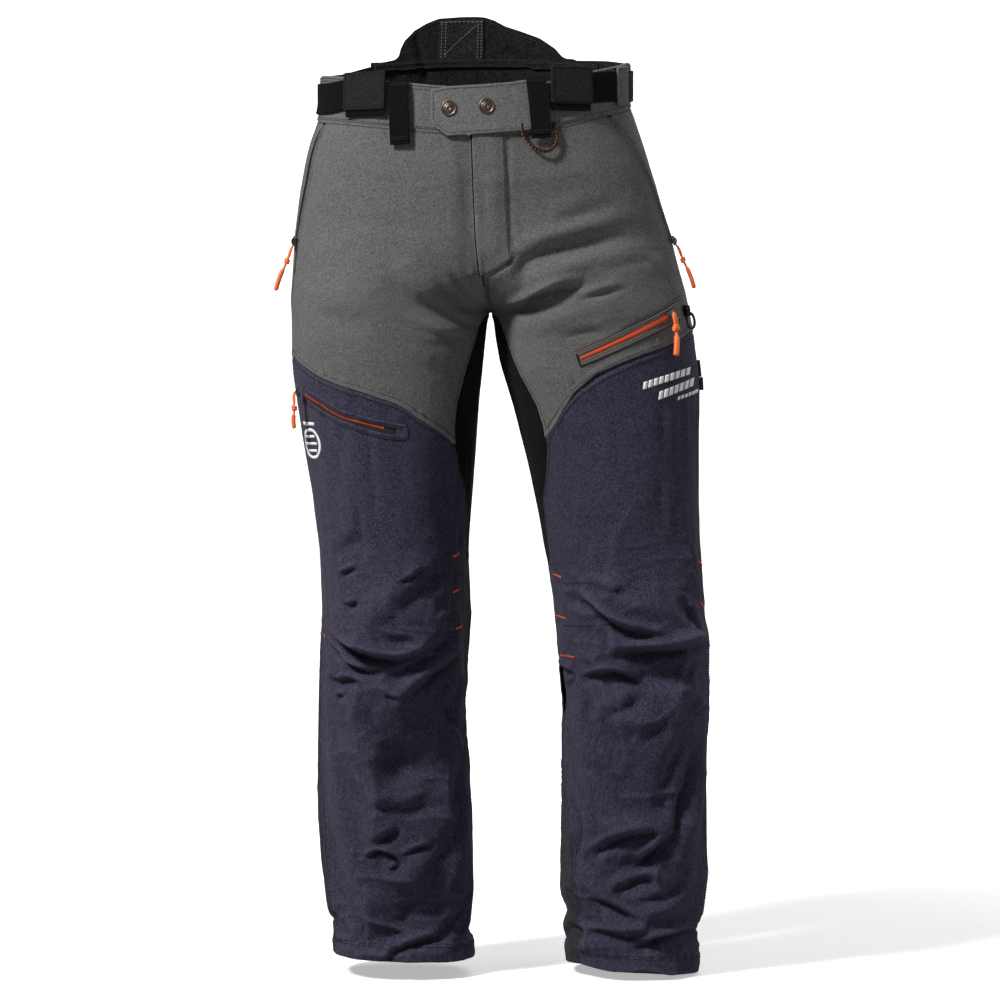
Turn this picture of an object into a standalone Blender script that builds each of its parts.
"""Forestry protective trousers, built as separate garment pieces.

Metres, +Z up, hems near z = 0, front towards -Y. "left" is the -X side and "right" the +X side.

Each side, a leg with its half of the pelvis, is one parametric surface addressed by (tau, z).
tau is the share of the way round: 0 at the outer side seam, 1 at the inner end of the front,
-1 at the inner end of the back. Fabric pieces are regions of that surface with a thickness, and
fittings are laid out on it. Offsets are metres along the surface normal, positive outward.
"""
import math
from bisect import bisect_right

import bmesh
import bpy
import numpy as np
from mathutils import Vector

for scene_object in list(bpy.data.objects):
    bpy.data.objects.remove(scene_object, do_unlink=True)

# ---------------------------------------------------------------- driving dimensions
SIDES = ("left", "right")
OUTWARD = {"left": -1.0, "right": 1.0}   # X direction from the middle to the outer seam

MIDDLE_LINE_Y = -0.0117           # y of the side seams at the pelvis
HIP_Y, HIP_Z = -0.0267, 0.8826    # hip hinge, runs along X
HIP_CENTRE_Z = 0.7728             # the hip hinge is centred on the leg at this height
KNEE_Y, KNEE_Z = -0.0157, 0.4176  # knee hinge, runs along X
CROTCH_Z = 0.7944
KNEE_TOP, KNEE_LOW = 0.4872, 0.348
BAND_HEIGHT = 0.0528
SEAM = 0.0005                     # half the gap left at a seam
SIDE_GAP = SEAM / 0.3             # the same at the side seam, in tau
FABRIC = 0.0018                   # outer fabric thickness
PAD, PAD_DEPTH = 0.006, 0.008     # cut pad thickness, and its depth below the surface
SECTION_POWER = 2.2               # superellipse power of the cross-sections
GUSSET_SHARE = 0.762              # tau of the stretch panel's edge at the top of the thigh

# Marks on the front are (x, z) on the vertical plane y = MIDDLE_LINE_Y, and are projected
# onto the garment from this viewpoint in front of it.
VIEW_DISTANCE, VIEW_X, VIEW_Z = 4.2, -0.00096, 0.7176

# Outer seam of each side, from the hem up: (z, x)
OUTER_X = {
    "left": [
        (-0.0024, -0.19776), (0.0588, -0.20496), (0.1128, -0.20976), (0.1668, -0.21576),
        (0.2388, -0.21936), (0.3288, -0.21936), (0.4008, -0.21696), (0.4488, -0.21336),
        (0.5088, -0.21456), (0.5448, -0.21936), (0.5808, -0.22416), (0.6168, -0.23016),
        (0.6528, -0.23736), (0.6888, -0.24336), (0.7428, -0.24996), (0.7968, -0.25056),
        (0.8688, -0.24756), (0.9228, -0.24216), (0.9588, -0.23616), (0.9948, -0.22776),
        (1.0236, -0.21816), (1.044, -0.21456), (1.1688, -0.21456)],
    "right": [
        (-0.0024, 0.23664), (0.0408, 0.24024), (0.0948, 0.24384), (0.1308, 0.24984),
        (0.2088, 0.25104), (0.2748, 0.25344), (0.3288, 0.26064), (0.3828, 0.26064),
        (0.4368, 0.25344), (0.4908, 0.24864), (0.5448, 0.24384), (0.5988, 0.24264),
        (0.6888, 0.24024), (0.7608, 0.23184), (0.8148, 0.22104), (0.8508, 0.21144),
        (0.8868, 0.20304), (0.9228, 0.19224), (0.9588, 0.18024), (0.9948, 0.16944),
        (1.0236, 0.15984), (1.044, 0.15384), (1.1688, 0.15384)],
}
# Inner edge of each leg, from the hem up to the crotch: (z, x)
INNER_X = {
    "left": [
        (-0.0024, -0.03576), (0.0408, -0.03216), (0.1488, -0.03216), (0.2208, -0.03516),
        (0.2748, -0.04056), (0.3288, -0.04416), (0.3888, -0.03696), (0.4368, -0.03216),
        (0.4908, -0.03576), (0.5448, -0.03276), (0.6168, -0.02856), (0.6888, -0.02496),
        (0.7428, -0.01956), (0.7788, -0.01536), (0.7944, -0.01296)],
    "right": [
        (-0.0024, 0.07944), (0.0588, 0.07464), (0.1128, 0.07584), (0.1848, 0.08064),
        (0.2568, 0.08184), (0.3288, 0.08244), (0.4008, 0.07224), (0.4728, 0.06024),
        (0.5448, 0.04824), (0.5988, 0.03744), (0.6528, 0.02304), (0.6888, 0.01224),
        (0.7428, -0.00336), (0.7788, -0.00936), (0.7944, -0.01176)],
}
# Line where the two sides meet: (z, x)
CENTRE_X = [
    (-0.0024, -0.01236), (0.7944, -0.01236), (0.8208, -0.01656), (0.8688, -0.02256),
    (0.9288, -0.02736), (1.0044, -0.03096), (1.1688, -0.03096)]
# How far a section turns from the side seam to its inner end: (z, degrees)
TURN = [
    (-0.0024, 180), (0.7944, 180), (0.8028, 158), (0.8124, 142), (0.8268, 124),
    (0.8448, 109), (0.8688, 97), (0.8988, 90), (1.1688, 90)]
# Depth in front of and behind the middle line: (z, depth)
FRONT_DEPTH = [
    (-0.0024, 0.076), (0.0888, 0.078), (0.1776, 0.081), (0.2976, 0.087), (0.3624, 0.092),
    (0.4248, 0.094), (0.4968, 0.097), (0.5976, 0.104), (0.7176, 0.115), (0.8088, 0.121),
    (0.8772, 0.126), (0.9468, 0.124), (0.9996, 0.119), (1.0548, 0.115), (1.1688, 0.110)]
BACK_DEPTH = [
    (-0.0024, 0.079), (0.0888, 0.081), (0.1776, 0.085), (0.2976, 0.088), (0.3624, 0.082),
    (0.4248, 0.080), (0.4968, 0.088), (0.5976, 0.104), (0.7176, 0.124), (0.7728, 0.139),
    (0.8208, 0.149), (0.8772, 0.149), (0.948, 0.138), (1.0176, 0.124), (1.0968, 0.117),
    (1.1688, 0.114)]
# Middle line of the section: (z, y)
MIDDLE_Y = [
    (-0.0024, MIDDLE_LINE_Y + 0.010), (0.4248, MIDDLE_LINE_Y - 0.004),
    (CROTCH_Z, MIDDLE_LINE_Y), (1.1688, MIDDLE_LINE_Y)]
# Edge of the black stretch panel: (z, tau); 1 where there is no panel
GUSSET_EDGE = [
    (-0.0024, 1.0), (0.489, 1.0), (0.4908, 0.965), (0.5064, 0.93), (0.5328, 0.905),
    (0.5688, 0.88), (0.5988, 0.815), (0.636, 0.762), (0.6588, 0.757), (0.6828, 0.762),
    (0.7068, 0.785), (0.7308, 0.808), (0.7548, 0.835), (0.7752, 0.862), (0.786, 0.90),
    (0.7932, 0.985), (0.79452, 1.0), (1.1688, 1.0)]
# Heights of the mesh rows at the inner edge, shared by neighbouring pieces
PELVIS_ROWS = [0.9408, 0.9048, 0.8688, 0.8388, 0.8184, 0.8052, 0.795]
UPPER_LEG_ROWS = [0.792, 0.786, 0.7752, 0.7548, 0.7308, 0.7068, 0.6828, 0.6588]
THIGH_ROWS = [0.5988, 0.5688, 0.5328, 0.5064, 0.4908]
LAST_THIGH_ROW = 0.48888
# Marks along the lower edge of the front waistband: (x, z)
BAND_LOW_MARKS = {
    "left": [(-0.21576, 1.0236), (-0.18696, 1.0212), (-0.13896, 1.0164),
             (-0.08496, 1.0116), (-0.03216, 1.008)],
    "right": [(-0.02256, 1.008), (0.03504, 1.0092), (0.07104, 1.0176),
              (0.11904, 1.0296), (0.15264, 1.0392)],
}
# Marks along the top edge of the navy thigh: (x, z)
THIGH_TOP_MARKS = {
    "left": [
        (-0.24696, 0.7404), (-0.23856, 0.7296), (-0.21576, 0.7134), (-0.18936, 0.7032),
        (-0.16416, 0.696), (-0.13656, 0.687), (-0.11856, 0.6804), (-0.10056, 0.66768),
        (-0.08376, 0.6576), (-0.06744, 0.6468), (-0.05616, 0.636)],
    "right": [
        (0.22704, 0.7704), (0.20664, 0.75432), (0.17784, 0.7428), (0.14904, 0.7308),
        (0.12864, 0.7212), (0.10524, 0.70632), (0.09072, 0.696), (0.07584, 0.67872),
        (0.06624, 0.6624), (0.05544, 0.6456), (0.05016, 0.6408)],
}
# Top of the raised back: (share from the side seam, z)
RISE_TOP = [
    (0.0, 1.1052), (0.56, 1.1088), (0.63, 1.1184), (0.70, 1.1328), (0.78, 1.1496),
    (0.86, 1.1568), (1.0, 1.158)]
# Hem of each leg: (height at mid width, drop of height from the inner end to the side seam;
# negative where the side seam is the lower end)
HEM = {"left": (0.0216, 0.0072), "right": (0.0072, -0.0144)}

# Cross-section of every zip: (across, outward)
ZIP_PROFILE = [
    (-0.0072, 0.0), (0.0072, 0.0), (0.0072, 0.0007), (0.0021, 0.0007),
    (0.0014, 0.0015), (-0.0014, 0.0015), (-0.0021, 0.0007), (-0.0072, 0.0007)]
# Cord pull with a knot and a grip: (step along, radius, distance outward)
CORD = [
    (0.0, 0.0011, 0.0), (0.006, 0.0011, 0.0012), (0.009, 0.0012, 0.0016),
    (0.0025, 0.0024, 0.0016), (0.003, 0.0031, 0.0016), (0.003, 0.0024, 0.0016),
    (0.003, 0.0015, 0.0014), (0.014, 0.0019, 0.001), (0.010, 0.0020, 0.0006),
    (0.002, 0.0012, 0.0004)]
# Short pull that springs away from the cloth, so that it clears the left thigh
CORD_SHORT = [
    (0.0, 0.0011, 0.0), (0.006, 0.0011, 0.0012), (0.009, 0.0012, 0.0017),
    (0.0025, 0.0024, 0.0020), (0.003, 0.0031, 0.0024), (0.003, 0.0024, 0.0030),
    (0.003, 0.0015, 0.0036), (0.007, 0.0019, 0.0054), (0.006, 0.0020, 0.0074),
    (0.0015, 0.0012, 0.0079)]

# Material: (base colour, roughness, metallic)
MATERIALS = {
    "grey_fabric": ((0.115, 0.115, 0.113), 0.85, 0.0),
    "navy_fabric": ((0.028, 0.027, 0.043), 0.85, 0.0),
    "dark_fabric": ((0.018, 0.018, 0.024), 0.85, 0.0),
    "stretch_fabric": ((0.004, 0.004, 0.005), 0.8, 0.0),
    "lining_fabric": ((0.028, 0.028, 0.028), 0.9, 0.0),
    "black_webbing": ((0.005, 0.005, 0.005), 0.8, 0.0),
    "orange_cord": ((1.0, 0.155, 0.02), 0.6, 0.0),
    "zip_coil": ((0.42, 0.05, 0.012), 0.45, 0.0),
    "snap_bronze": ((0.16, 0.09, 0.06), 0.35, 1.0),
    "slider_metal": ((0.06, 0.06, 0.065), 0.4, 1.0),
    "black_plastic": ((0.008, 0.008, 0.008), 0.4, 0.0),
    "pad_fibre": ((0.75, 0.73, 0.66), 0.95, 0.0),
    "mesh_lining": ((0.06, 0.06, 0.065), 0.9, 0.0),
}


# ---------------------------------------------------------------- tables
def smooth_at(table, x):
    """Monotone cubic through a table of (where, value), held constant beyond its ends."""
    xs, ys = zip(*table)
    if x <= xs[0]:
        return ys[0]
    if x >= xs[-1]:
        return ys[-1]
    i = bisect_right(xs, x) - 1
    span = xs[i + 1] - xs[i]
    t = (x - xs[i]) / span

    def slope(j):
        if j == 0 or j == len(xs) - 1:
            return 0.0
        before = (ys[j] - ys[j - 1]) / (xs[j] - xs[j - 1])
        after = (ys[j + 1] - ys[j]) / (xs[j + 1] - xs[j])
        return 0.0 if before * after <= 0 else 2 * before * after / (before + after)

    return ((2 * t**3 - 3 * t**2 + 1) * ys[i] + (t**3 - 2 * t**2 + t) * slope(i) * span
            + (3 * t**2 - 2 * t**3) * ys[i + 1] + (t**3 - t**2) * slope(i + 1) * span)


def linear_at(table, x):
    xs, ys = zip(*table)
    return float(np.interp(x, xs, ys))


def steps(count, start=0.0, end=1.0):
    return [start + (end - start) * i / count for i in range(count + 1)]


def signed_power(value, power):
    return math.copysign(abs(value) ** power, value)


# ---------------------------------------------------------------- garment surface
def section(side, z):
    """Cross-section of one side: middle x, half width, turning angle in radians."""
    outer = smooth_at(OUTER_X[side], z)
    turn = math.radians(smooth_at(TURN, z))
    if z > CROTCH_Z:
        reach = signed_power(math.cos(turn), 2 / SECTION_POWER)
        half_width = abs(smooth_at(CENTRE_X, z) - outer) / (1 - reach)
        return outer - OUTWARD[side] * half_width, half_width, turn
    inner = smooth_at(INNER_X[side], z)
    return (inner + outer) / 2, abs(inner - outer) / 2, turn


def point(side, tau, z):
    middle, half_width, turn = section(side, z)
    angle = abs(tau) * turn
    across = signed_power(math.cos(angle), 2 / SECTION_POWER)
    depth = max(math.sin(angle), 0.0) ** (2 / SECTION_POWER)
    depth *= -smooth_at(FRONT_DEPTH, z) if tau >= 0 else smooth_at(BACK_DEPTH, z)
    return Vector((middle + OUTWARD[side] * half_width * across,
                   smooth_at(MIDDLE_Y, z) + depth, z))


def normal(side, tau, z):
    """Outward unit normal, from finite differences."""
    tau_step, z_step = 0.02, 0.0048
    round_leg = (point(side, min(tau + tau_step, 1.0), z)
                 - point(side, max(tau - tau_step, -1.0), z))
    down_leg = point(side, tau, z - z_step) - point(side, tau, z + z_step)
    n = round_leg.cross(down_leg).normalized()
    p = point(side, tau, z)
    from_middle = Vector((p.x - section(side, z)[0], p.y - smooth_at(MIDDLE_Y, z), 0))
    return -n if n.dot(from_middle) < 0 else n


def on_surface(side, tau, z):
    return point(side, tau, z), normal(side, tau, z)


def raised(side, tau, z, offset):
    return point(side, tau, z) + normal(side, tau, z) * offset


def local_frame(side, tau, z):
    """Surface point and unit axes: across (towards +X on the front), up, outward."""
    p, n = on_surface(side, tau, z)
    up = Vector((0, 0, 1))
    up = (up - n * up.dot(n)).normalized()
    return p, up.cross(n).normalized(), up, n


def front_tau(side, x, z):
    """tau of the front surface point with this x."""
    middle, half_width, turn = section(side, z)
    share = max(-1.0, min(1.0, OUTWARD[side] * (x - middle) / half_width))
    return min(math.acos(signed_power(share, SECTION_POWER / 2)) / turn, 1.0)


def projected(side, mark_x, mark_z):
    """(tau, z) of the front surface point behind a mark, by fixed-point iteration."""
    y = -0.1
    for _ in range(12):
        scale = (VIEW_DISTANCE + y - MIDDLE_LINE_Y) / VIEW_DISTANCE
        x = VIEW_X + (mark_x - VIEW_X) * scale
        z = VIEW_Z + (mark_z - VIEW_Z) * scale
        tau = front_tau(side, x, z)
        y = point(side, tau, z).y
    return tau, z


def projected_line(side, marks):
    """A line of marks as a table of (tau, z), without points closer than 0.01 in tau."""
    table, last = [], -1.0
    for tau, z in sorted(projected(side, *mark) for mark in marks):
        if tau > last + 0.01:
            table.append((tau, z))
            last = tau
    return table


def metres_per_tau(side, tau, z):
    start, end = max(tau - 0.01, -1), min(tau + 0.01, 1)
    return (point(side, end, z) - point(side, start, z)).length / (end - start)


def metres_per_z(side, tau, z):
    return (point(side, tau, z - 0.0024) - point(side, tau, z + 0.0024)).length / 0.0048


def inner_gap(side, z):
    """Seam margin at the stretch panel, in tau."""
    return SEAM / metres_per_tau(side, 0.9, z)


# Edge lines as tables of (share from the side seam, z)
BAND_LOW = {side: projected_line(side, BAND_LOW_MARKS[side]) for side in SIDES}
THIGH_TOP = {side: projected_line(side, THIGH_TOP_MARKS[side]) for side in SIDES}
BACK_LOW = {}
for side in SIDES:
    side_low = linear_at(BAND_LOW[side], 0.0)
    BACK_LOW[side] = [(0.0, side_low), (0.35, side_low + 0.0096), (0.7, 1.0524), (1.0, 1.0572)]


# ---------------------------------------------------------------- objects
def material(name):
    if name in bpy.data.materials:
        return bpy.data.materials[name]
    colour, roughness, metallic = MATERIALS[name]
    made = bpy.data.materials.new(name)
    made.use_nodes = True
    shader = made.node_tree.nodes["Principled BSDF"]
    shader.inputs["Base Color"].default_value = (*colour, 1)
    shader.inputs["Roughness"].default_value = roughness
    shader.inputs["Metallic"].default_value = metallic
    made.diffuse_color = (*colour, 1)
    return made


def empty(name, where, parent=None):
    """Hinge or slide origin at a world position."""
    made = bpy.data.objects.new(name, None)
    bpy.context.scene.collection.objects.link(made)
    made.parent = parent
    made.location = Vector(where)
    if parent:
        made.location -= parent.matrix_world.translation
    bpy.context.view_layer.update()
    return made


def piece(name, solid, material_name, parent=None, smooth=True):
    """Object from a closed solid (vertices, faces) in world metres, its origin at its parent's."""
    verts, faces = solid
    bm = bmesh.new()
    bm_verts = [bm.verts.new(v) for v in verts]
    for face in faces:
        bm.faces.new([bm_verts[i] for i in face])
    bmesh.ops.remove_doubles(bm, verts=bm.verts, dist=1e-7)
    bmesh.ops.triangulate(bm, faces=bm.faces)
    bmesh.ops.recalc_face_normals(bm, faces=bm.faces)
    if bm.calc_volume(signed=True) < 0:
        bmesh.ops.reverse_faces(bm, faces=bm.faces)
    if parent:
        bmesh.ops.translate(bm, verts=bm.verts, vec=-parent.matrix_world.translation)
    for face in bm.faces:
        face.smooth = smooth
    mesh = bpy.data.meshes.new(name)
    bm.to_mesh(mesh)
    bm.free()
    mesh.materials.append(material(material_name))
    made = bpy.data.objects.new(name, mesh)
    bpy.context.scene.collection.objects.link(made)
    made.parent = parent


# ---------------------------------------------------------------- solids
def skins(grid, inner, outer):
    """Vertices of the outer skin, then of the inner skin, of a grid of (point, normal)."""
    return [p + n * offset for offset in (outer, inner) for row in grid for p, n in row]


def skin_faces(a, b, c, d, k):
    """One grid cell on the outer skin and on the inner skin, k vertices later."""
    return [(a, b, c), (a, c, d), (k + a, k + c, k + b), (k + a, k + d, k + c)]


def sheet(grid, inner, outer):
    """Closed thin solid between two offsets of a grid of (point, normal)."""
    n, m = len(grid), len(grid[0])
    k = n * m
    faces = []
    for i in range(n - 1):
        for j in range(m - 1):
            a, d = i * m + j, (i + 1) * m + j
            faces += skin_faces(a, a + 1, d + 1, d, k)
    rim = list(range(m))
    rim += [i * m + m - 1 for i in range(1, n)]
    rim += [(n - 1) * m + j for j in range(m - 2, -1, -1)]
    rim += [i * m for i in range(n - 2, 0, -1)]
    for a, b in zip(rim, rim[1:] + rim[:1]):
        faces += [(a, k + a, k + b), (a, k + b, b)]
    return skins(grid, inner, outer), faces


def sleeve(grid, inner, outer):
    """Closed tube wall between two offsets of a grid whose columns run all the way round."""
    n, m = len(grid), len(grid[0])
    k = n * m
    faces = []
    for i in range(n - 1):
        for j in range(m):
            j2 = (j + 1) % m
            faces += skin_faces(i * m + j, i * m + j2, (i + 1) * m + j2, (i + 1) * m + j, k)
    for j in range(m):
        a, b = j, (j + 1) % m
        faces += [(a, k + a, k + b), (a, k + b, b)]
        a, b = (n - 1) * m + a, (n - 1) * m + b
        faces += [(a, b, k + b), (a, k + b, k + a)]
    return skins(grid, inner, outer), faces


def region(side, down, across, where):
    """Grid of (point, normal), with where(u, v) giving (tau, z) for u across and v down."""
    return [[on_surface(side, *where(u, v)) for u in across] for v in down]


def capped_faces(levels, n):
    """Walls between successive loops of n vertices, and a cap at each end."""
    faces = []
    for i in range(levels - 1):
        for k in range(n):
            a, b = i * n + k, i * n + (k + 1) % n
            faces.append((a, b, b + n, a + n))
    faces.append(tuple(range(n))[::-1])
    faces.append(tuple((levels - 1) * n + k for k in range(n)))
    return faces


def tube(points, radii, n=8):
    """Closed round bar along points."""
    verts = []
    last_tangent = None
    for i, p in enumerate(points):
        ahead, behind = points[min(i + 1, len(points) - 1)], points[max(i - 1, 0)]
        tangent = (ahead - behind).normalized()
        if last_tangent is None:
            spoke = tangent.orthogonal().normalized()
        else:
            spoke = (last_tangent.rotation_difference(tangent) @ spoke).normalized()
            spoke = (spoke - tangent * spoke.dot(tangent)).normalized()
        cross = tangent.cross(spoke)
        for k in range(n):
            angle = 2 * math.pi * k / n
            verts.append(p + (spoke * math.cos(angle) + cross * math.sin(angle)) * radii[i])
        last_tangent = tangent
    return verts, capped_faces(len(points), n)


def zip_bar(frames):
    """Zip along frames of (point, across, outward)."""
    verts = [p + across * a + out * h for p, across, out in frames for a, h in ZIP_PROFILE]
    return verts, capped_faces(len(frames), len(ZIP_PROFILE))


def oval_ring(centre, axis_a, axis_b, radius_a, radius_b, bar_radius, n=20, m=8):
    """Oval ring of round bar in the plane of two unit axes."""
    axis = axis_a.cross(axis_b).normalized()
    verts, faces = [], []
    for i in range(n):
        angle = 2 * math.pi * i / n
        c, s = math.cos(angle), math.sin(angle)
        spoke = axis_a * (c * radius_a) + axis_b * (s * radius_b)
        out = (axis_a * (c * radius_b) + axis_b * (s * radius_a)).normalized()
        for k in range(m):
            turn = 2 * math.pi * k / m
            verts.append(centre + spoke + out * (bar_radius * math.cos(turn))
                         + axis * (bar_radius * math.sin(turn)))
            here, ahead, k2 = i * m, (i + 1) % n * m, (k + 1) % m
            faces.append((here + k, here + k2, ahead + k2, ahead + k))
    return verts, faces


def lathe(centre, axis, profile, n=20):
    """Solid of revolution; profile is (radius, height) from axis to axis."""
    axis = Vector(axis).normalized()
    e1 = axis.orthogonal().normalized()
    e2 = axis.cross(e1)
    inner = profile[1:-1]
    verts = [centre + axis * profile[0][1]]
    for radius, height in inner:
        for k in range(n):
            angle = 2 * math.pi * k / n
            spoke = e1 * math.cos(angle) + e2 * math.sin(angle)
            verts.append(centre + spoke * radius + axis * height)
    verts.append(centre + axis * profile[-1][1])
    top = 1 + (len(inner) - 1) * n
    faces = []
    for k in range(n):
        k2 = (k + 1) % n
        faces.append((0, 1 + k, 1 + k2))
        for j in range(len(inner) - 1):
            a = 1 + j * n
            faces.append((a + k, a + n + k, a + n + k2, a + k2))
        faces.append((len(verts) - 1, top + k2, top + k))
    return verts, faces


def plate(frame, size, corner, base, top, chamfer, corner_steps=2):
    """Flat plate with rounded corners and a chamfered outer edge.

    frame is (centre, across, up, outward), size is (across, up), base and top lie along outward.
    """
    centre, across, up, out = frame
    x, y = size[0] / 2 - corner, size[1] / 2 - corner
    outline = []
    for cx, cy, start in ((x, y, 0), (-x, y, 90), (-x, -y, 180), (x, -y, 270)):
        for i in range(corner_steps + 1):
            angle = math.radians(start + 90 * i / corner_steps)
            outline.append(Vector((cx + corner * math.cos(angle),
                                   cy + corner * math.sin(angle))))
    verts = []
    for height, inset in ((base, 0.0), (top - chamfer, 0.0), (top, chamfer)):
        for p in outline:
            q = p * (1 - inset / p.length)
            verts.append(centre + across * q.x + up * q.y + out * height)
    return verts, capped_faces(3, len(outline))


def pull_cord(start, along, out, profile, drift=Vector((0, 0, 0))):
    """Cord pull as one round bar; drift is its sideways travel per metre."""
    points, total = [], 0.0
    for step, _, distance in profile:
        total += step
        points.append(start + along * total + out * distance + drift * total)
    return tube(points, [radius for _, radius, _ in profile])


# ---------------------------------------------------------------- legs and pelvis
def row_shares(top, bottom, rows):
    """Row shares from 0 to 1 that put the inner edge at the heights that fall in the piece."""
    inside = [z for z in rows if bottom + 0.00036 < z < top - 0.0024]
    return [0.0] + [(top - z) / (top - bottom) for z in inside] + [1.0]


def upper_piece(name, side, face, upper, lower, rows, material_name, parent=None):
    """Fabric from the side seam to the stretch panel; face is 1 in front and -1 behind."""
    def where(u, v):
        z = upper(u) + (lower(u) - upper(u)) * v
        inner = linear_at(GUSSET_EDGE, z) - inner_gap(side, z)
        return face * (SIDE_GAP + (inner - SIDE_GAP) * u), z

    grid = region(side, row_shares(upper(1), lower(1), rows), steps(9), where)
    piece(name + side, sheet(grid, -FABRIC, 0.0), material_name, parent)


def pelvis_and_thigh(side, hip):
    """Front upper, seat, and the front and back of the thigh."""
    def thigh_top(u):
        return linear_at(THIGH_TOP[side], GUSSET_SHARE * u)

    for face, name, low, first_rows, colour in (
            (1, "front_upper_", BAND_LOW[side], [0.9768], "grey_fabric"),
            (-1, "seat_", BACK_LOW[side], [1.0248, 0.9828], "dark_fabric")):
        upper_piece(name, side, face, lambda u: linear_at(low, u) - SEAM,
                    lambda u: thigh_top(u) + SEAM,
                    first_rows + PELVIS_ROWS + UPPER_LEG_ROWS, colour)
    for face, name, colour in ((1, "thigh_front_", "navy_fabric"),
                               (-1, "thigh_back_", "dark_fabric")):
        upper_piece(name, side, face, lambda u: thigh_top(u) - SEAM, lambda u: KNEE_TOP + SEAM,
                    THIGH_ROWS + [LAST_THIGH_ROW], colour, hip)


def gusset(side):
    """Black stretch panel: from its front edge round the inner leg to its back edge."""
    seam_row = linear_at(THIGH_TOP[side], GUSSET_SHARE)
    grid = []
    for z in UPPER_LEG_ROWS + [seam_row] + THIGH_ROWS:
        edge = linear_at(GUSSET_EDGE, z) + inner_gap(side, z)
        taus = [edge + (1 - edge) * u for u in steps(3)]
        taus += [-1 + (1 - edge) * u for u in steps(3)[1:]]
        grid.append([on_surface(side, tau, z) for tau in taus])
    piece("gusset_" + side, sheet(grid, -FABRIC, -0.0002), "stretch_fabric")


def knee_sleeve(side, hip):
    """One ring round the leg."""
    top, bottom = KNEE_TOP - SEAM, KNEE_LOW + SEAM
    taus = steps(9) + [-t for t in steps(9)][-2:0:-1]
    grid = region(side, steps(4), taus, lambda u, v: (u, top + (bottom - top) * v))
    piece("knee_" + side, sleeve(grid, -FABRIC, 0.0), "navy_fabric", hip)


def shin(side, knee):
    top = KNEE_LOW - SEAM
    hem_middle, hem_tilt = HEM[side]
    for face, part, colour in ((1, "front", "navy_fabric"), (-1, "back", "dark_fabric")):
        def where(u, v):
            hem = hem_middle + hem_tilt * (0.5 - u)
            return face * (SIDE_GAP + (1 - 2 * SIDE_GAP) * u), top + (hem - top) * v

        grid = region(side, steps(8), steps(9), where)
        piece(f"shin_{part}_{side}", sheet(grid, -FABRIC, 0.0), colour, knee)


def cut_pads(side, hip, knee):
    """Cut-protection pads inside the front of the thigh and of the shin."""
    for part, upper, bottom, parent in (
            ("thigh", lambda tau: linear_at(THIGH_TOP[side], tau) - 0.0048, 0.492, hip),
            ("shin", lambda tau: 0.3408, 0.0552, knee)):
        def where(u, v):
            tau = 0.05 + 0.66 * u
            return tau, upper(tau) + (bottom - upper(tau)) * v

        grid = region(side, steps(6), steps(7), where)
        piece(f"cut_pad_{part}_{side}", sheet(grid, -PAD_DEPTH - PAD, -PAD_DEPTH),
              "pad_fibre", parent)


# ---------------------------------------------------------------- waistband
def band(name, span, columns, rows, face, edges, material_name):
    """Strip round the waist; span runs from -1 and 1 at the side seams to 0 at the centre.

    face is 1 in front and -1 behind; edges(side, u) gives its lower and upper z at share u.
    """
    grid = []
    for v in steps(rows):
        line = []
        for place in steps(columns, *span):
            side = "left" if place < 0 else "right"
            u = 1 - abs(place)
            low, high = edges(side, u)
            line.append(on_surface(side, face * u, high + (low - high) * v))
        grid.append(line)
    piece(name, sheet(grid, -0.002, 0.001), material_name)


def band_edges(low_table):
    def edges(side, u):
        low = linear_at(low_table[side], u)
        return low + SEAM, low + BAND_HEIGHT
    return edges


def rise_edges(side, u):
    """Edges of the raised back, never lower than a narrow strip."""
    low = linear_at(BACK_LOW[side], u) + BAND_HEIGHT + 2 * SEAM
    return low, max(linear_at(RISE_TOP, u), low + 0.0018)


def waistband():
    front, back = band_edges(BAND_LOW), band_edges(BACK_LOW)
    end = 1 - SIDE_GAP
    band("waistband_left", (-end, -SIDE_GAP), 14, 2, 1, front, "grey_fabric")
    band("waistband_right", (SIDE_GAP, end), 14, 2, 1, front, "grey_fabric")
    band("waistband_back", (-end, end), 28, 2, -1, back, "grey_fabric")
    band("back_rise", (-0.42, 0.42), 20, 3, -1, rise_edges, "lining_fabric")


# ---------------------------------------------------------------- closure tab and snaps
TAB_INNER, TAB_OUTER = 0.0036, 0.0058   # offsets of the tab's two faces
TAB_SPLIT_X = -0.02496                  # marks left of this are projected on the left side
TAB_HINGE_MARK = (0.00804, 1.0368)
# Upper and lower edge of the tab: (x, z)
TAB_TOP = [(-0.08256, 1.0608), (-0.06096, 1.0638), (-0.03696, 1.065), (-0.01536, 1.0662),
           (0.00624, 1.068)]
TAB_LOW = [(-0.08256, 1.0188), (-0.06456, 1.0038), (-0.03696, 1.0056), (-0.01536, 1.0068),
           (0.00624, 1.008)]
SNAP_MARKS = {"left": (-0.06156, 1.0368), "right": (-0.01716, 1.0392)}
# Snap profiles: (radius, height)
CAP_PROFILE = [(0, 0), (0.0088, 0), (0.0090, 0.0006), (0.0084, 0.0014), (0.0058, 0.0018),
               (0, 0.0018)]
STUD_PROFILE = [(0, 0), (0.0055, 0), (0.0055, 0.0006), (0.0022, 0.0007), (0.0022, 0.0014),
                (0, 0.0014)]


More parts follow.
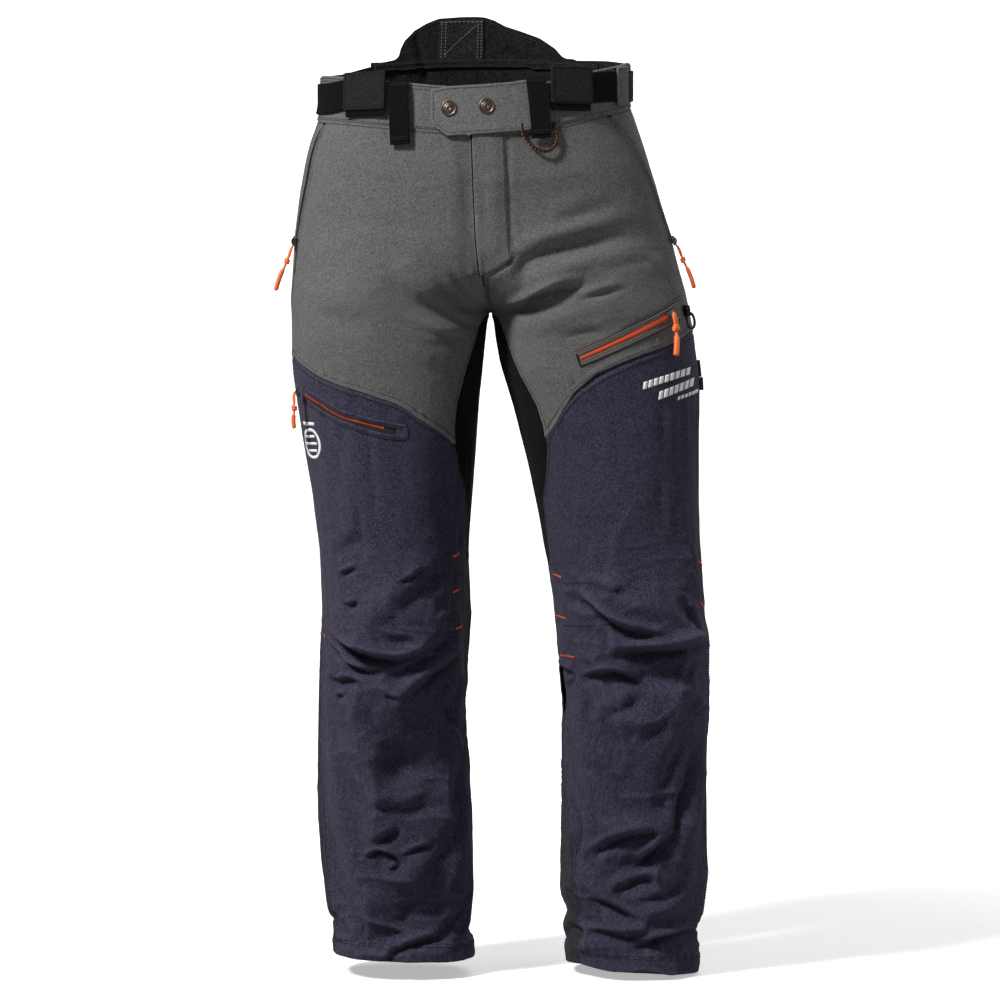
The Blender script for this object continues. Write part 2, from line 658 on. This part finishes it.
def closure_tab():
    grid = []
    for v in steps(2):
        line = []
        for (x0, z0), (x1, z1) in zip(TAB_TOP, TAB_LOW):
            x, z = x0 + (x1 - x0) * v, z0 + (z1 - z0) * v
            side = "left" if x < TAB_SPLIT_X else "right"
            line.append(on_surface(side, *projected(side, x, z)))
        grid.append(line)
    hinge = empty("tab_hinge", raised("right", *projected("right", *TAB_HINGE_MARK), TAB_INNER))
    piece("closure_tab", sheet(grid, TAB_INNER, TAB_OUTER), "grey_fabric", hinge)
    for side, mark in SNAP_MARKS.items():
        p, n = on_surface(side, *projected(side, *mark))
        piece("snap_cap_" + side, lathe(p + n * (TAB_OUTER + 0.0004), n, CAP_PROFILE),
              "snap_bronze", hinge)
        piece("snap_stud_" + side, lathe(p + n * 0.0016, n, STUD_PROFILE), "snap_bronze")


# ---------------------------------------------------------------- belt loops
LOOP_WIDTH = 0.0235
# Front belt loops: (x, top z, bottom z)
FRONT_LOOPS = {"left": (-0.11976, 1.068, 0.9936), "right": (0.04404, 1.074, 1.0008)}
BACK_LOOPS = [("left", -0.42, "back_left"), ("right", -0.42, "back_right"),
              ("right", -0.985, "back_centre")]


def belt_loop(name, side, tau, top, bottom):
    """Webbing loop sewn down at both ends and lifted between them."""
    p, across, up, out = local_frame(side, tau, (top + bottom) / 2)
    half = (top - bottom) / 2
    # (height, offset) of the outer and the inner face, upward
    outer = [(-half, 0.0064), (-half + 0.010, 0.0068), (-half + 0.016, 0.0096),
             (half - 0.014, 0.0096), (half - 0.009, 0.0068), (half, 0.0064)]
    inner = [(-half, 0.0042), (-half + 0.010, 0.0042), (-half + 0.0165, 0.0067),
             (half - 0.0145, 0.0067), (half - 0.009, 0.0042), (half, 0.0042)]
    profile = outer + inner[::-1]
    k = len(profile)
    verts = [p + across * x + up * height + out * offset
             for x in (-LOOP_WIDTH / 2, LOOP_WIDTH / 2) for height, offset in profile]
    faces = []
    for i in range(len(outer) - 1):
        faces.append((i, i + 1, k - 2 - i, k - 1 - i))
        faces.append((k + i, 2 * k - 1 - i, 2 * k - 2 - i, k + i + 1))
    for i in range(k):
        j = (i + 1) % k
        faces.append((i, k + i, k + j, j))
    piece("belt_loop_" + name, (verts, faces), "black_webbing", smooth=False)


def belt_loops():
    for side, (x, top_mark, bottom_mark) in FRONT_LOOPS.items():
        top_tau, top = projected(side, x, top_mark)
        bottom_tau, bottom = projected(side, x, bottom_mark)
        belt_loop("front_" + side, side, (top_tau + bottom_tau) / 2, top, bottom)
    for side, tau, name in BACK_LOOPS:
        low = linear_at(BACK_LOW[side], abs(tau))
        belt_loop(name, side, tau, low + BAND_HEIGHT - 0.0036, low - 0.0096)


# Cord loop hanging either side of the right front belt loop: (x, z)
CORD_LOOP_MARKS = [
    (0.02424, 1.0128), (0.02664, 1.0032), (0.03624, 0.9912), (0.05064, 0.984),
    (0.06144, 0.9888), (0.06744, 1.002), (0.06624, 1.0164)]


def cord_loop():
    places = [projected("right", *mark) for mark in CORD_LOOP_MARKS]
    ends = [raised("right", *place, 0.0040) for place in (places[0], places[-1])]
    hinge = empty("cord_loop_hinge", (ends[0] + ends[1]) / 2)
    points = [raised("right", *place, 0.0038 + 0.003 * math.sin(math.pi * i / 6))
              for i, place in enumerate(places)]
    piece("cord_loop", tube(points, [0.0013] * len(points)), "orange_cord", hinge)


# ---------------------------------------------------------------- waist adjusters
ADJUSTER_SIZE = (0.0505, 0.0444)
ADJUSTER_LIFT = 0.0062
STRAP_HALF = 0.0185
# Middle of the tab, and where the strap shows beside it: (x, z)
ADJUSTER_MARKS = {"left": ((-0.16356, 1.0578), (-0.20196, 1.0488)),
                  "right": ((0.08364, 1.065), (0.12564, 1.0632))}


def adjuster_tab(side):
    frame = local_frame(side, *projected(side, *ADJUSTER_MARKS[side][0]))
    p, across, _, out = frame
    reach = OUTWARD[side] * (ADJUSTER_SIZE[0] / 2 + 0.0006)
    hinge = empty("adjuster_hinge_" + side, p + across * reach + out * ADJUSTER_LIFT)
    solid = plate(frame, ADJUSTER_SIZE, corner=0.003, base=ADJUSTER_LIFT,
                  top=ADJUSTER_LIFT + 0.0022, chamfer=0.0004, corner_steps=3)
    piece("adjuster_tab_" + side, solid, "black_webbing", hinge, smooth=False)


def adjuster_strap(side):
    """Strap from under the tab round the side seam to the back."""
    (x, z), edge_mark = ADJUSTER_MARKS[side]
    band_middle = linear_at(BAND_LOW[side], 0) + BAND_HEIGHT / 2
    corners = [projected(side, x + OUTWARD[side] * 0.015, z - 0.0036),
               projected(side, *edge_mark), (0.02, band_middle),
               (-0.12, band_middle + 0.0012), (-0.24, band_middle + 0.0036)]
    path = []
    for (tau0, z0), (tau1, z1) in zip(corners, corners[1:]):
        path += [(tau0 + (tau1 - tau0) * q, z0 + (z1 - z0) * q) for q in (0, 0.2, 0.4, 0.6, 0.8)]
    path.append(corners[-1])
    grid = []
    for i, (tau, z) in enumerate(path):
        (tau0, z0), (tau1, z1) = path[max(i - 1, 0)], path[min(i + 1, len(path) - 1)]
        per_tau, per_z = metres_per_tau(side, tau, z), metres_per_z(side, tau, z)
        along = Vector(((tau1 - tau0) * per_tau, (z1 - z0) * per_z)).normalized()
        row = []
        for c in steps(2, -1, 1):
            row_tau = tau + along.y * c * STRAP_HALF / per_tau
            row_tau = max(-0.999, min(0.999, row_tau))
            row.append(on_surface(side, row_tau, z - along.x * c * STRAP_HALF / per_z))
        grid.append(row)
    piece("adjuster_strap_" + side, sheet(grid, 0.0030, 0.0047), "black_webbing")


# ---------------------------------------------------------------- fly
FLY_ROWS = [0.9984, 0.9708, 0.9348, 0.8988, 0.8688, 0.8424]
SHIELD_LEFT, SHIELD_RIGHT = -0.020, 0.026      # edges from the centre line
FLY_SLIDER_TOP, FLY_SLIDER_LOW = 0.9912, 0.8472  # heights that set the slider's direction


def fly_point(z):
    return point("right", front_tau("right", smooth_at(CENTRE_X, z), z), z)


def fly():
    frames = [(fly_point(z) + Vector((0, 0.0050, 0)), Vector((1, 0, 0)), Vector((0, 1, 0)))
              for z in FLY_ROWS]
    piece("fly_zip", zip_bar(frames), "zip_coil", smooth=False)

    grid = []
    for z in FLY_ROWS:
        line = []
        for shift in (SHIELD_LEFT, (SHIELD_LEFT + SHIELD_RIGHT) / 2, SHIELD_RIGHT):
            side = "left" if shift < 0 else "right"
            line.append(on_surface(side, front_tau(side, smooth_at(CENTRE_X, z) + shift, z), z))
        grid.append(line)
    piece("fly_shield", sheet(grid, -0.0205, -0.0190), "grey_fabric")

    start = fly_point(FLY_SLIDER_TOP)
    down = (fly_point(FLY_SLIDER_LOW) - start).normalized()
    out = Vector((0, -1, 0))
    out = (out - down * out.dot(down)).normalized()
    centre = start - out * 0.0090
    slide = empty("fly_slide", centre)
    solid = plate((centre, out.cross(down).normalized(), down, -out), (0.008, 0.011),
                  corner=0.002, base=-0.0008, top=0.0016, chamfer=0.0004)
    piece("fly_slider", solid, "slider_metal", slide, smooth=False)


# ---------------------------------------------------------------- side pockets
# Top and bottom of each side zip: (x, z)
SIDE_ZIP_MARKS = {"left": ((-0.22476, 0.9768), (-0.24216, 0.8784)),
                  "right": ((0.16464, 0.9768), (0.20244, 0.8784))}


def side_pocket(side):
    """Straight zip just outside the fabric, with slider, pull and pocket bag."""
    top, low = [projected(side, *mark) for mark in SIDE_ZIP_MARKS[side]]
    top_point, low_point = point(side, *top), point(side, *low)
    out = (normal(side, *top) + normal(side, *low)).normalized()
    up = (top_point - low_point).normalized()
    out = (out - up * out.dot(up)).normalized()
    across = up.cross(out).normalized()
    bulges = [(point(side, top[0] + (low[0] - top[0]) * q, top[1] + (low[1] - top[1]) * q)
               - low_point).dot(out) for q in steps(8)]
    lift = max(bulges) + 0.0022
    half_length = (top_point - low_point).length / 2
    middle = low_point + up * half_length + out * lift
    frames = [(middle + up * (end * (half_length + 0.006)) - out * 0.0008, across, out)
              for end in (-1, 1)]
    piece("side_zip_" + side, zip_bar(frames), "zip_coil", smooth=False)

    seat = low_point + out * lift + out * 0.0012
    slide = empty("side_slide_" + side, seat)
    solid = plate((seat, across, up, out), (0.0085, 0.012), corner=0.002,
                  base=0.0, top=0.0030, chamfer=0.0005)
    piece("side_slider_" + side, solid, "slider_metal", slide, smooth=False)

    eye = seat - up * 0.0075 + out * 0.0018
    hinge = empty("side_pull_hinge_" + side, eye, slide)
    sideways = Vector((OUTWARD[side], -0.25, 0)).normalized()
    along = (-up * 0.55 + Vector((0, 0, -1)) * 0.6 + sideways * 0.16).normalized()
    piece("side_pull_" + side, pull_cord(eye, along, out, CORD), "orange_cord", hinge)

    grid = region(side, steps(4), steps(5),
                  lambda u, v: (0.20 + 0.50 * u, 0.9768 - 0.018 * (1 - u) - 0.096 * v))
    piece("side_pocket_bag_" + side, sheet(grid, -0.0075, -0.0050), "mesh_lining")


# ---------------------------------------------------------------- thigh pockets
# Outer end, middle and inner end of each curved thigh zip: (x, z)
THIGH_ZIP_MARKS = {
    "left": [(-0.23616, 0.6984), (-0.19416, 0.66912), (-0.11736, 0.6522)],
    "right": [(0.20064, 0.7902), (0.13464, 0.7572), (0.09624, 0.7404)],
}


def circle_through(a, b, c):
    """Centre, axis and radius of the circle through three points."""
    ab, ac = b - a, c - a
    axis = ab.cross(ac)
    double = 2 * axis.length_squared
    centre = (a + axis.cross(ab) * (ac.length_squared / double)
              + ac.cross(axis) * (ab.length_squared / double))
    return centre, axis.normalized(), (a - centre).length


def clear_radius(side, spokes, centre, axis, radius):
    """Arc radius that clears the front fabric along every spoke, no less than radius."""
    reaches = []
    for spoke in spokes:
        reach = radius - 0.03
        while reach < radius + 0.03:
            p = centre + spoke * reach - axis * 0.0075   # lower edge of the zip tape
            middle, half_width, _ = section(side, p.z)
            depth = (p.y - smooth_at(MIDDLE_Y, p.z)) / smooth_at(FRONT_DEPTH, p.z)
            across = (p.x - middle) / half_width
            if abs(across) ** SECTION_POWER + abs(depth) ** SECTION_POWER > 1:
                break
            reach += 0.0003
        reaches.append(reach)
    return max(max(reaches) + 0.0018, radius)


def thigh_zip(side, hip):
    """Zip on an arc of a circle, with a slider that turns about the circle's centre."""
    start, middle, finish = [raised(side, *projected(side, *mark), 0.002)
                             for mark in THIGH_ZIP_MARKS[side]]
    centre, axis, radius = circle_through(start, middle, finish)
    if axis.z < 0:
        axis = -axis
    out = (start - centre).normalized()
    ahead = axis.cross(out).normalized()
    sweep_angle = math.atan2((finish - centre).dot(ahead), (finish - centre).dot(out))

    def spoke(share):
        angle = sweep_angle * share
        return out * math.cos(angle) + ahead * math.sin(angle)

    radius = clear_radius(side, [spoke(q) for q in steps(16)], centre, axis, radius)
    frames = [(centre + spoke(q) * radius, axis, spoke(q)) for q in steps(18, -0.05, 1.05)]
    piece("thigh_zip_" + side, zip_bar(frames), "zip_coil", hip)

    slide = empty("thigh_slide_" + side, centre, hip)
    seat = centre + out * (radius + 0.0020)
    solid = plate((seat, ahead, axis, out), (0.0115, 0.0085), corner=0.002,
                  base=0.0, top=0.0030, chamfer=0.0005)
    piece("thigh_slider_" + side, solid, "slider_metal", slide, smooth=False)

    eye = seat + out * 0.0048
    hinge = empty("thigh_pull_hinge_" + side, eye, slide)
    down = Vector((0, 0, -1))
    down = (down - out * down.dot(out)).normalized()
    if side == "left":
        cord = pull_cord(eye, down, out, CORD_SHORT)
    else:
        cord = pull_cord(eye, down, out, CORD, drift=down.cross(out).normalized() * 0.16)
    piece("thigh_pull_" + side, cord, "orange_cord", hinge)


def thigh_pocket_bag(side, hip):
    last_tau = 0.52 if side == "left" else 0.62

    def where(u, v):
        tau = 0.20 + (last_tau - 0.20) * u
        top = 0.6408 if side == "left" else linear_at(THIGH_TOP[side], tau) - 0.0072
        return tau, top - 0.0696 * v

    grid = region(side, steps(4), steps(7), where)
    piece("thigh_pocket_bag_" + side, sheet(grid, -0.0056, -0.0044), "mesh_lining", hip)


# ---------------------------------------------------------------- ring on the right thigh
RING_MARK = (0.22104, 0.798)
RING_HALF_WIDTH, RING_HALF_HEIGHT, RING_BAR = 0.0058, 0.0092, 0.0013


def pocket_ring(hip):
    """Oval ring hanging from a short webbing tape."""
    frame = local_frame("right", *projected("right", *RING_MARK))
    p, across, up, out = frame
    tape = plate(frame, (0.017, 0.0075), corner=0.0012, base=0.0012, top=0.0046, chamfer=0.0004)
    piece("ring_tape", tape, "black_webbing", hip, smooth=False)
    pivot = p - up * 0.0056 + out * 0.0046
    hinge = empty("ring_hinge", pivot, hip)
    solid = oval_ring(pivot - up * RING_HALF_HEIGHT, across, up,
                      RING_HALF_WIDTH, RING_HALF_HEIGHT, RING_BAR)
    piece("pocket_ring", solid, "black_plastic", hinge)


# ---------------------------------------------------------------- build
def build():
    waistband()
    closure_tab()
    belt_loops()
    cord_loop()
    fly()
    for side in SIDES:
        hip = empty("hip_axis_" + side, (section(side, HIP_CENTRE_Z)[0], HIP_Y, HIP_Z))
        knee = empty("knee_axis_" + side, (section(side, KNEE_Z)[0], KNEE_Y, KNEE_Z), hip)
        pelvis_and_thigh(side, hip)
        gusset(side)
        knee_sleeve(side, hip)
        shin(side, knee)
        cut_pads(side, hip, knee)
        adjuster_tab(side)
        adjuster_strap(side)
        side_pocket(side)
        thigh_zip(side, hip)
        thigh_pocket_bag(side, hip)
        if side == "right":
            pocket_ring(hip)


build()
